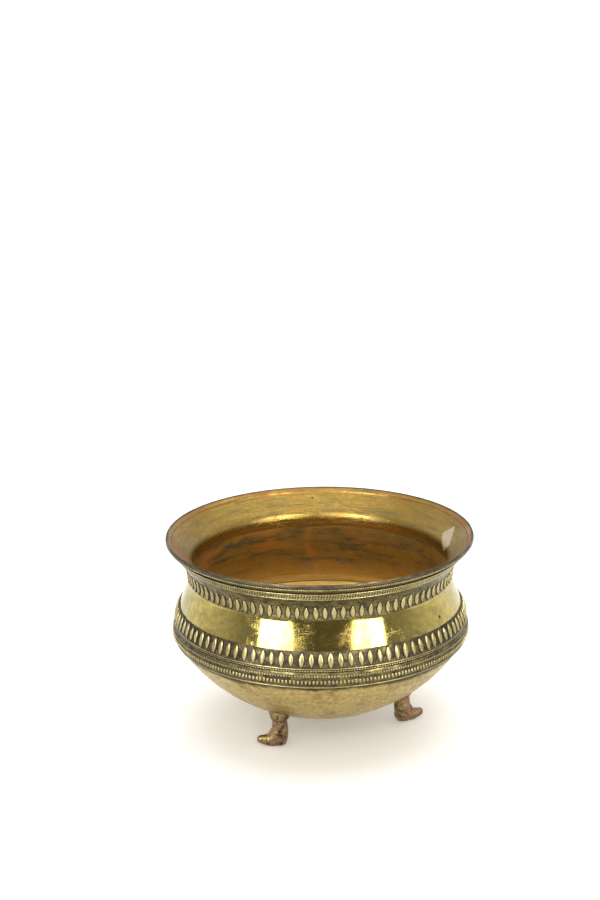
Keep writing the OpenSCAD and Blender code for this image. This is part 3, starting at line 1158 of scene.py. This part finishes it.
@dataclass
class Row:
    """A row of raised marks round a face, each copied from one and a little different.

    The height is the middle's; wide, tall and out are one mark's size. The skirt is its
    thin foot on the metal, slant its lean in radians and loose how much the copies
    differ. Full sets how domed it is, and the right-side shade lowers the relief of its
    right side so that side is coloured darker: painted shade, as though lit from the left.
    """

    name: str
    punch: Punch
    height: float
    count: int
    wide: float
    tall: float
    out: float
    skirt: float = 0.9 * MM
    slant: float = 0.0
    loose: float = 0.04
    seed: int = 1
    sides: int = 12
    rings: int = 5
    full: float = 2.2
    right_side_shade: float = 0.0

    def template(self) -> bpy.types.Object:
        """Models one mark: x round the bowl, y up the face, z out of it.

        Returns:
            The mark's object, with its relief stored.
        """
        clear_selection()
        bpy.ops.mesh.primitive_uv_sphere_add(segments=self.sides, ring_count=2 * self.rings, radius=1.0)
        mark = bpy.context.object
        bpy.ops.object.mode_set(mode="EDIT")
        bpy.ops.mesh.select_all(action="DESELECT")
        bpy.ops.object.mode_set(mode="OBJECT")
        lowest = math.cos(math.pi / 2 * (1 + 2.5 / self.rings))
        for vertex in mark.data.vertices:
            vertex.select = vertex.co.z < lowest
        bpy.ops.object.mode_set(mode="EDIT")
        bpy.ops.mesh.delete(type="VERT")
        bpy.ops.object.mode_set(mode="OBJECT")
        relief = []
        for vertex in mark.data.vertices:
            round_by = math.atan2(vertex.co.y, vertex.co.x)
            fall = math.acos(max(-1.0, min(1.0, vertex.co.z))) / (math.pi / 2)
            up = math.sin(round_by)
            across = math.cos(round_by)
            if self.punch is Punch.PETAL:
                across = math.copysign((1 - abs(up) ** POINTED[0]) ** POINTED[1], across)
            if fall < DOME_END:
                reach, lift = math.sin(fall * math.pi / 2), max(0.0, 1 - fall**self.full) ** 0.6
            elif fall < DOME_END + 1 / self.rings:
                reach, lift = 1 + self.skirt / self.wide * 2, FOOT_LIFT
            else:
                reach, lift = ROOT_REACH + self.skirt / self.wide * 2, ROOT_LIFT
            tall_reach = reach if reach < 1 else 1 + (reach - 1) * self.wide / self.tall
            vertex.co = (reach * across * self.wide / 2, tall_reach * up * self.tall / 2, lift * self.out)
            # Painted shade: the right side of each mark gets less relief, so its colour stays darker.
            relief.append(lift - self.right_side_shade * max(0.0, reach * across) if reach <= 1 else 0.0)
        set_relief(mark, np.array(relief))
        return mark

    def build(self, face: Face) -> bpy.types.Object:
        """Copies the mark round a face.

        Args:
            face: The face that it sits on.

        Returns:
            The row as one piece.
        """
        mark = self.template()
        base = np.zeros(len(mark.data.vertices) * 3)
        mark.data.vertices.foreach_get("co", base)
        base = base.reshape(-1, 3)
        draw = random.Random(self.seed)
        start = face.length_at(self.height)
        loose = self.loose
        copies = []
        for index in range(self.count):
            swing = self.slant + draw.gauss(0, loose)
            grow = 1 + draw.gauss(0, loose)
            lift = 1 + draw.gauss(0, loose * 1.5)
            turn = 2 * math.pi * (index + draw.gauss(0, loose * 0.7)) / self.count
            across = base[:, 0] * grow * math.cos(swing) - base[:, 1] * math.sin(swing)
            up = base[:, 0] * math.sin(swing) + base[:, 1] * grow * math.cos(swing)
            along = start + up + draw.gauss(0, loose * 0.12) * self.tall
            radius, height, out_r, out_z = face.at(along)
            angle = turn + across / radius
            out = base[:, 2] * lift
            reach = radius + out * out_r
            places = np.stack([reach * np.cos(angle), reach * np.sin(angle), height + out * out_z], axis=1)
            mesh = mark.data.copy()
            mesh.vertices.foreach_set("co", places.ravel())
            copy = bpy.data.objects.new(f"{self.name}_{index}", mesh)
            bpy.context.scene.collection.objects.link(copy)
            copies.append(copy)
        bpy.data.objects.remove(mark)
        row = joined(self.name, copies)
        take(row)
        bpy.ops.object.mode_set(mode="EDIT")
        bpy.ops.mesh.select_all(action="SELECT")
        bpy.ops.mesh.normals_make_consistent(inside=False)
        bpy.ops.object.mode_set(mode="OBJECT")
        smooth(row, 60.0)
        return row


def wire(
    name: str, face: Face, height: float, thick: float, out: float, segments: int = 384
) -> bpy.types.Object:
    """A half-round wire laid round a face.

    Args:
        name: Its name.
        face: The face that it lies on.
        height: The height of its middle.
        thick: Its width along the face.
        out: How far it stands out.
        segments: Steps round the axis.

    Returns:
        The wire, with its relief stored.
    """
    middle = face.length_at(height)
    turns = np.linspace(-0.5 * math.pi, 0.5 * math.pi, 9)
    lengths = middle + np.sin(turns) * thick / 2
    radius, level, out_r, out_z = face.at(lengths)
    lift = np.cos(turns) * out
    outer = list(zip((radius + lift * out_r).tolist(), (level + lift * out_z).tolist()))
    inner = list(zip((radius - SUNK * out_r)[::-4].tolist(), (level - SUNK * out_z)[::-4].tolist()))
    ring = turned(name, outer + inner, segments)
    away = np.array([math.hypot(v.co.x, v.co.y) for v in ring.data.vertices])
    ground = np.array([face.radius_at(v.co.z) for v in ring.data.vertices])
    set_relief(ring, (away - ground) / out)
    return ring


# ---------------------------------------------------------------- the bowl


@dataclass
class Vessel:
    """The bowl's three shells: the hammered bottom, the polished shoulder and the flare."""

    parts: dict[str, bpy.types.Object]
    step: float = 1.3 * MM
    segments: int = 360
    fan_centre: float = 0.19
    fan_angle: float = 64.0
    edge: float = 0.05 * MM
    tongue: float = 0.8 * MM
    shoulder_depth: float = 0.22 * MM
    shoulder_wave: float = 30 * MM
    flare_depth: float = 0.35 * MM
    flare_wave: float = 30 * MM
    under_rim: float = 1.2 * MM
    above_rim: float = 0.1
    bottom_depth: float = 0.5 * MM
    bottom_wave: float = 11 * MM

    def shell(self, name: str, node: str, spare: float) -> tuple[bpy.types.Object, float, float]:
        """Turns a shell from the two faces of its node.

        Args:
            name: Its name.
            node: The CAD node that it is measured from.
            spare: How far it stays below the node's top.

        Returns:
            The shell and its lowest and highest level.
        """
        gauge = Gauge([node], self.parts)
        low, high = gauge.low + self.edge, gauge.high - spare
        outer, inner = (
            face.points(face.heights[0], face.heights[-1], self.step)
            for face in (gauge.level(low, high, outside) for outside in (True, False))
        )
        tongue = ((outer[0][0] + 2 * inner[0][0]) / 3, min(outer[0][1], inner[0][1]) - self.tongue)
        return turned(name, outer + inner[::-1] + [tongue], self.segments), low, high

    @staticmethod
    def mark_inside(piece: bpy.types.Object, centre: float) -> None:
        """Gives the second material to faces that look at a point on the axis.

        Args:
            piece: The piece.
            centre: The point's height.
        """
        for face in piece.data.polygons:
            towards = Vector((0.0, 0.0, centre)) - face.center
            face.material_index = 1 if face.normal.dot(towards) > 0 else 0

    def build_shoulder(self) -> None:
        """The shoulder wall, from the belly joint to the neck joint."""
        piece, low, high = self.shell("shoulder_wall_spun", "shoulder_wall", self.edge)
        uneven(piece, self.shoulder_depth, self.shoulder_wave)
        finish_piece(piece, (POLISHED, INTERIOR), ["shoulder_wall"])
        self.mark_inside(piece, (low + high) / 2)
        smooth(piece)

    def build_flare(self) -> None:
        """The neck and flare, golden inside and dark outside."""
        piece, _, high = self.shell("neck_flare_spun", "neck_flare", self.under_rim)
        uneven(piece, self.flare_depth, self.flare_wave)
        finish_piece(piece, (FLARE_OUTSIDE, FLARE_INSIDE), ["neck_flare"])
        self.mark_inside(piece, high + self.above_rim)
        smooth(piece)

    def build_bottom(self) -> None:
        """The lower bowl, planished all over."""
        gauge = Gauge(["lower_bowl"], self.parts)
        top = gauge.high - self.edge
        sides = []
        for outside in (True, False):
            face = gauge.polar(self.fan_centre, self.fan_angle, outside)
            places = [place for place in zip(face.radii.tolist(), face.heights.tolist()) if place[1] < top]
            sides.append([(0.0, places[0][1])] + places[1:])
        outer, inner = sides
        piece = turned("lower_bowl_hammered", outer + inner[::-1], self.segments)
        uneven(piece, self.bottom_depth, self.bottom_wave)
        finish_piece(piece, (HAMMERED, INTERIOR), ["lower_bowl"])
        self.mark_inside(piece, self.fan_centre)
        smooth(piece)

    def build(self) -> None:
        """Builds the three shells."""
        self.build_bottom()
        self.build_shoulder()
        self.build_flare()


@dataclass
class Rim:
    """The rolled binding of the rim and the beaded wire under its face.

    The section is measured in millimetres outwards and up from the rim's outermost top.
    """

    parts: dict[str, bpy.types.Object]
    lip_depth: float = 0.25 * MM
    lip_wave: float = 9 * MM
    lip_face: float = 2.2 * MM
    lap_reach: float = 5 * MM
    bead_pitch: float = 2.5 * MM
    bead_out: float = 0.6 * MM
    backing: float = 2 * MM
    lift: float = 0.1 * MM
    section: tuple[tuple[float, float], ...] = (
        (-2.2, -5.0),
        (-0.8, -4.5),
        (-0.1, -3.9),
        (0.0, -2.9),
        (-0.05, -1.6),
        (-0.35, -0.6),
        (-0.95, -0.05),
        (-1.7, -0.25),
        (-2.5, -0.95),
        (-3.4, -1.75),
        (-4.3, -2.55),
        (-4.9, -2.85),
        (-5.6, -3.35),
        (-6.2, -4.3),
        (-6.6, -5.6),
        (-5.2, -5.6),
    )

    def build_binding(self) -> None:
        """The rolled binding, dark on the lip and golden on the lap inside."""
        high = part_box("rim_binding")[1]
        outline = [(high.x + out * MM, high.z + up * MM) for out, up in self.section]
        piece = turned("rim_binding_rolled", outline, 512)
        uneven(piece, self.lip_depth, self.lip_wave)
        finish_piece(piece, (LIP, LAP), ["rim_binding"])
        for face in piece.data.polygons:
            inward = math.hypot(face.center.x, face.center.y) < high.x - self.lip_face
            face.material_index = 1 if inward and face.center.z > high.z - self.lap_reach else 0
        smooth(piece, 50.0)

    def build_beads(self) -> None:
        """The row of small beads under the lip, on a plain backing."""
        low, high = (corner.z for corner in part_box("rim_bead_wire"))
        skin = Gauge(["rim_bead_wire"], self.parts).level(low + 0.3 * MM, high - 0.3 * MM, True)
        radius = float(skin.radii.max()) - self.bead_out
        ground = Face(np.full(5, radius), np.linspace(low - 5 * MM, high + 5 * MM, 5))
        row = Row(
            "rim_beads", Punch.BEAD, (low + high) / 2, int(2 * math.pi * radius / self.bead_pitch),
            self.bead_pitch * 1.02, (high - low) * 0.8, self.bead_out, 0.05 * MM, sides=8, rings=3, seed=3,
        )
        beads = row.build(ground)
        corners = [
            (radius - self.backing, low + self.lift),
            (radius + self.lift, low + 2 * self.lift),
            (radius + self.lift, high - self.lift),
            (radius - self.backing, high),
        ]
        backing = turned("rim_bead_backing", corners, 384)
        set_relief(backing, np.zeros(len(backing.data.vertices)))
        both = joined("rim_bead_wire_laid", [backing, beads])
        finish_piece(both, (ROPES,), ["rim_bead_wire"])
        smooth(both, 60.0)

    def build(self) -> None:
        """Builds the binding, then the beads."""
        self.build_binding()
        self.build_beads()


@dataclass
class Dressing:
    """The bands, wires, ropes, petals and beads laid round the neck and the belly."""

    parts: dict[str, bpy.types.Object]
    band_step: float = 0.8 * MM
    band_edge: float = 0.15 * MM
    band_foot: float = 0.5 * MM
    band_sunk: float = 1.1 * MM
    band_depth: float = 0.3 * MM
    band_wave: float = 8 * MM
    fringe: float = 1.2 * MM
    taper: float = 3.0 * MM
    taper_depth: float = 0.5 * MM
    rope_pitch: float = 2.8 * MM
    beaded_pitch: float = 2.7 * MM
    rope_out: float = 0.75 * MM
    wire_out: float = 0.7 * MM
    wire_depth: float = 0.25 * MM
    wire_wave: float = 5 * MM
    petal_gap: float = 0.1 * MM

    def face_of(self, node: str, spare: float) -> Face:
        """The outer face of a node, short of its two edges by a little."""
        low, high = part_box(node)
        return Gauge([node], self.parts).level(low.z + spare, high.z - spare, True)

    def ragged_edges(self, piece: bpy.types.Object, low: float, high: float, ragged: float) -> None:
        """Lets a band's edges wander, and thins its foot.

        Args:
            piece: The band.
            low: The height of its lower edge.
            high: The height of its upper edge.
            ragged: How far its edges wander, in metres.
        """
        for vertex in piece.data.vertices:
            place = vertex.co
            below, above = place.z - low, high - place.z
            edge = min(below, above)
            if edge < self.fringe:
                wander = noise.noise(place * 160) + 0.6 * noise.noise(place * 520)
                side = 1 if below < above else -1
                place.z += side * ragged * max(0.0, wander) * (1 - edge / self.fringe)
            below = place.z - low
            if below < self.taper:
                thin = 1 - self.taper_depth * (1 - below / self.taper) / math.hypot(place.x, place.y)
                place.x *= thin
                place.y *= thin

    def band(self, node: str, finish: Brass, ragged: float) -> Face:
        """A thin band that hugs the wall, with slightly ragged edges.

        Args:
            node: The CAD node it stands for.
            finish: Its finish.
            ragged: How far its edges wander, in metres.

        Returns:
            The band's outer face.
        """
        low, high = (corner.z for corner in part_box(node))
        face = self.face_of(node, self.band_edge)
        outer = face.points(low + self.band_edge, high - self.band_edge, self.band_step)
        inner = face.points(
            low + self.band_foot, high - self.band_foot, self.band_step * 3, -self.band_sunk
        )
        piece = turned(f"{node}_laid", outer + inner[::-1], 384)
        self.ragged_edges(piece, low, high, ragged)
        uneven(piece, self.band_depth, self.band_wave)
        finish_piece(piece, (finish,), [node])
        smooth(piece, 50.0)
        return face

    @staticmethod
    def ground_for(skin: Face, low: float, high: float, radius: float) -> Face:
        """A straight-sided face to lay a wire on.

        Args:
            skin: The wire's own outer face, which gives the slope.
            low: The wire's lower edge.
            high: Its upper edge.
            radius: The face's radius at the wire's middle.

        Returns:
            The face, 4 mm longer than the wire at each end.
        """
        rise = (skin.radii[-1] - skin.radii[0]) / (skin.heights[-1] - skin.heights[0])
        heights = np.linspace(low - 4 * MM, high + 4 * MM, 9)
        return Face(radius + rise * (heights - (low + high) / 2), heights)

    def rope(self, node: str, slant: float, seed: int, pitch: float, share: float = 1.0) -> None:
        """A twisted wire: slanted strands, each over its neighbour, on a thin core.

        Args:
            node: The CAD node it stands for.
            slant: The strands' lean, in radians.
            seed: Start of its random draws.
            pitch: The distance from strand to strand.
            share: The strands' length, as a share of the wire's height over the lean.
        """
        low, high = (corner.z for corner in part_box(node))
        tall, middle = high - low, (low + high) / 2
        skin = self.face_of(node, 0.2 * MM)
        top = float(np.interp(middle, skin.heights, skin.radii))
        ground = self.ground_for(skin, low, high, top - self.rope_out)
        core = wire(f"{node}_core", ground, middle, tall * 0.9, 0.3 * MM)
        set_relief(core, np.zeros(len(core.data.vertices)))
        row = Row(
            f"{node}_strands", Punch.STRAND, middle, int(2 * math.pi * top / pitch), pitch * 0.92,
            tall / math.cos(slant) * share, self.rope_out, 0.05 * MM, slant, 0.02, seed, 8, 3,
        )
        both = joined(f"{node}_laid", [core, row.build(ground)])
        finish_piece(both, (ROPES,), [node])
        smooth(both, 60.0)

    def plain_wire(self, node: str, finish: Brass = ROPES) -> None:
        """A plain half-round wire.

        Args:
            node: The CAD node it stands for.
            finish: Its finish.
        """
        low, high = (corner.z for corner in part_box(node))
        skin = self.face_of(node, 0.1 * MM)
        ground = self.ground_for(skin, low, high, float(skin.radii.max()) - self.wire_out)
        piece = wire(f"{node}_laid", ground, (low + high) / 2, high - low, self.wire_out, 512)
        uneven(piece, self.wire_depth, self.wire_wave)
        finish_piece(piece, (finish,), [node])
        smooth(piece, 60.0)

    def petals(
        self, node: str, ground: Face, count: int, wide: float, out: float, loose: float, seed: int
    ) -> None:
        """A row of chased petals round a band.

        Args:
            node: The CAD node they stand for.
            ground: The band's outer face.
            count: How many there are.
            wide: The width of one.
            out: How far one stands out.
            loose: How much they differ, as a share.
            seed: Start of their random draws.
        """
        low, high = (corner.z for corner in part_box(node))
        # The petals get painted shade on their right sides.
        row = Row(
            f"{node}_chased", Punch.PETAL, (low + high) / 2, count, wide, high - low - self.petal_gap, out,
            right_side_shade=0.3, loose=loose, seed=seed,
        )
        finish_piece(row.build(ground), (PETALS,), [node])

    def build_neck(self) -> None:
        """The band round the throat with its wires, two ropes and hanging petals."""
        ground = self.band("neck_band", NECK_BAND, 0.5 * MM)
        self.plain_wire("neck_top_wire")
        self.rope("neck_upper_rope", 0.6, 11, self.rope_pitch)
        self.rope("neck_lower_rope", 0.6, 12, self.rope_pitch)
        self.plain_wire("neck_lower_wire")
        self.petals("neck_petals", ground, 94, 5.2 * MM, 1.5 * MM, 0.045, 21)

    def build_belly(self) -> None:
        """The belly's two bands with petals, ropes, beads and the dark seam below."""
        ground = self.band("belly_petal_band", BELLY_BAND, 0.9 * MM)
        bead_ground = self.band("belly_bead_band", BEAD_BAND, 0.3 * MM)
        self.plain_wire("belly_petal_wire")
        self.rope("belly_beaded_rope", 0.25, 13, self.beaded_pitch, 0.9)
        self.rope("belly_fine_rope", -0.75, 14, self.rope_pitch)
        self.plain_wire("belly_edge_wire")
        self.plain_wire("belly_solder_seam", SOLDER)
        self.petals("belly_petals", ground, 96, 5.5 * MM, 1.6 * MM, 0.04, 22)
        low, high = (corner.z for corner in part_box("belly_beads"))
        beads = Row(
            "belly_beads_chased", Punch.BEAD, (low + high) / 2, 252, 2.5 * MM, 4.3 * MM, 1.25 * MM,
            skirt=0.12 * MM, loose=0.04, seed=23, sides=10, rings=4,
        )
        finish_piece(beads.build(bead_ground), (PETALS,), ["belly_beads"])

    def build(self) -> None:
        """Builds the neck's and the belly's dressing."""
        self.build_neck()
        self.build_belly()


@dataclass
class Feet:
    """The three cast feet, each a bent leg with a turned-out toe."""

    parts: dict[str, bpy.types.Object]
    names: tuple[str, ...] = ("foot_front", "foot_right", "foot_rear")
    voxel: float = 0.7 * MM
    rounding: int = 6
    rough_faces: tuple[tuple[float, float], ...] = ((0.5 * MM, 3.5 * MM), (0.8 * MM, 9 * MM))

    def build(self) -> None:
        """Casts each foot: one skin over its lumps, softened, with a rough cast face."""
        for node in self.names:
            clear_selection()
            mesh = self.parts[node].data.copy()
            piece = bpy.data.objects.new(f"{node}_cast", mesh)
            piece.data.name = piece.name
            bpy.context.scene.collection.objects.link(piece)
            take(piece)
            bpy.ops.object.mode_set(mode="EDIT")
            bpy.ops.mesh.select_all(action="SELECT")
            bpy.ops.mesh.remove_doubles(threshold=TINY)
            bpy.ops.mesh.normals_make_consistent(inside=False)
            bpy.ops.object.mode_set(mode="OBJECT")
            skin = piece.modifiers.new("skin", "REMESH")
            skin.mode = "VOXEL"
            skin.voxel_size = self.voxel
            soften = piece.modifiers.new("soften", "SMOOTH")
            soften.factor = 0.5
            soften.iterations = self.rounding
            apply_modifiers(piece)
            for depth, wave in self.rough_faces:
                uneven(piece, depth, wave)
            for vertex in piece.data.vertices:
                vertex.co.z = max(vertex.co.z, 0.0)
            finish_piece(piece, (CAST,), [node])
            smooth(piece, 80.0)


# ---------------------------------------------------------------- the studio


@dataclass(frozen=True)
class SoftBox:
    """A flat lamp in front of the bowl that looks at its middle.

    The azimuth runs from the front to the right, in degrees. A fill lights matt faces
    only; any other box shows in the polished metal only.
    """

    name: str
    azimuth: float
    height: float
    away: float
    wide: float
    tall: float
    power: float
    colour: Colour = WHITE
    fill: bool = False

    def build(self) -> None:
        """Hangs the lamp."""
        turn = math.radians(self.azimuth)
        place = Vector((self.away * math.sin(turn), -self.away * math.cos(turn), self.height))
        light = bpy.data.lights.new(self.name, "AREA")
        light.shape = "RECTANGLE"
        light.size, light.size_y = self.wide, self.tall
        light.energy = self.power
        light.color = self.colour[:3]
        lamp = bpy.data.objects.new(self.name, light)
        lamp.location = place
        lamp.rotation_euler = (Vector((0, 0, BOWL_MIDDLE)) - place).to_track_quat("-Z", "Y").to_euler()
        lamp.visible_diffuse, lamp.visible_glossy = self.fill, not self.fill
        bpy.context.scene.collection.objects.link(lamp)


SOFT_BOXES = (
    SoftBox("left_box", -36.0, 0.95, 1.6, 0.85, 1.3, 40.0),
    SoftBox("right_box", 38.0, 0.95, 1.6, 0.8, 1.3, 38.0, (1.0, 0.98, 0.92, 1.0)),
    SoftBox("front_fill", 0.0, 1.2, 1.9, 1.8, 1.0, 13.0, fill=True),
)


@dataclass
class Studio:
    """A white floor, the soft boxes, a soft light above, the room and the camera."""

    floor_size: float = 80.0
    distance: float = 2.0813
    down: float = 18.746
    yaw: float = 0.527
    pitch: float = 2.363
    roll: float = 0.694
    lens: float = 80.0
    sensor: float = 36.0
    floor_glow: float = 0.22
    sky_power: float = 1.3
    sky_width: float = 60.0
    sky_lean: tuple[float, float] = (-14.0, 4.0)
    side_glow: float = 0.26
    top_glow: float = 0.58
    dark_room: Colour = (0.21, 0.20, 0.165, 1.0)
    bright_room: Colour = (1.05, 1.05, 1.05, 1.0)

    def build_floor(self) -> None:
        """A plain white floor."""
        clear_selection()
        bpy.ops.mesh.primitive_plane_add(size=self.floor_size, location=(0, 0, 0))
        floor = bpy.context.object
        floor.name = floor.data.name = "floor"
        paper = bpy.data.materials.new("white_floor")
        paper.use_nodes = True
        bench = Bench(paper.node_tree)
        surface = paper.node_tree.nodes["Principled BSDF"]
        where = bench.add("ShaderNodeTexCoord").outputs["Object"]
        faint = bench.ramp(bench.grain(where, 3.0, 3.0), 0.3, 0.7)
        bench.feed(surface.inputs["Base Color"], bench.mix(faint, tint(244, 244, 243), tint(247, 247, 247)))
        surface.inputs["Roughness"].default_value = 0.85
        surface.inputs["Specular IOR Level"].default_value = 0.2
        surface.inputs["Emission Color"].default_value = WHITE
        surface.inputs["Emission Strength"].default_value = self.floor_glow
        floor.data.materials.append(paper)
        floor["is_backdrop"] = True

    def build_sky(self) -> None:
        """One large soft light above."""
        sun = bpy.data.lights.new("sky_light", "SUN")
        sun.energy = self.sky_power
        sun.angle = math.radians(self.sky_width)
        lamp = bpy.data.objects.new("sky_light", sun)
        lamp.rotation_euler = (*(math.radians(angle) for angle in self.sky_lean), 0.0)
        bpy.context.scene.collection.objects.link(lamp)

    def build_room(self) -> None:
        """The room that the metal mirrors: dark in front, bright behind, pale at the sides and above."""
        room = bpy.data.worlds.new("room")
        bpy.context.scene.world = room
        room.use_nodes = True
        room.node_tree.nodes.clear()
        bench = Bench(room.node_tree)
        way = bench.split(bench.add("ShaderNodeTexCoord").outputs["Generated"])
        back = bench.ramp(way[1], -0.75, 0.35)
        side = bench.ramp(bench.sum("ABSOLUTE", way[0]), 0.3, 0.95)
        up = bench.ramp(way[2], 0.25, 0.85)
        beside = bench.sum("MULTIPLY", side, self.side_glow)
        above = bench.sum("MULTIPLY", up, self.top_glow)
        open_share = bench.sum("MAXIMUM", back, bench.sum("MAXIMUM", beside, above))
        glow = bench.mix(open_share, self.dark_room, self.bright_room)
        background = bench.add("ShaderNodeBackground", {"Color": glow, "Strength": 1.0})
        output = bench.add("ShaderNodeOutputWorld")
        bench.feed(output.inputs["Surface"], background.outputs[0])

    def build_camera(self) -> None:
        """The camera, in front of the bowl and a little above it."""
        target = Vector((0.0, 0.0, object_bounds()[1].z))
        angles = (self.down, self.yaw, self.pitch, self.roll)
        down, yaw, pitch, roll = (math.radians(angle) for angle in angles)
        place = target + self.distance * Vector((0, -math.cos(down), math.sin(down)))
        ahead = Vector((0, math.cos(down), -math.sin(down)))
        right = Vector((1, 0, 0))
        above = right.cross(ahead)
        swing = Matrix.Rotation(yaw, 3, above)
        ahead, right = swing @ ahead, swing @ right
        tilt = Matrix.Rotation(pitch, 3, right)
        ahead, above = tilt @ ahead, tilt @ above
        level = Matrix.Rotation(roll, 3, ahead)
        right, above = level @ right, level @ above
        view = bpy.data.cameras.new("camera")
        view.lens = self.lens
        view.sensor_width = self.sensor
        view.sensor_fit = "AUTO"
        view.clip_end = 200.0
        camera = bpy.data.objects.new("camera", view)
        turn = Matrix((right, above, -ahead)).transposed().to_4x4()
        camera.matrix_world = Matrix.Translation(place) @ turn
        bpy.context.scene.collection.objects.link(camera)
        bpy.context.scene.camera = camera
        bpy.context.scene.view_settings.view_transform = "Standard"

    def build(self) -> None:
        """Builds the camera, the floor, the lights and the room."""
        self.build_camera()
        self.build_floor()
        for box in SOFT_BOXES:
            box.build()
        self.build_sky()
        self.build_room()


def main() -> None:
    """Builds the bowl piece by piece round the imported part."""
    logging.basicConfig(level=logging.INFO, format="%(name)s: %(message)s")
    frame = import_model()
    parts = frame["nodes"]
    Studio().build()
    Vessel(parts).build()
    Rim(parts).build()
    Dressing(parts).build()
    Feet(parts).build()
    clear_selection()


if __name__ == "__main__":
    main()
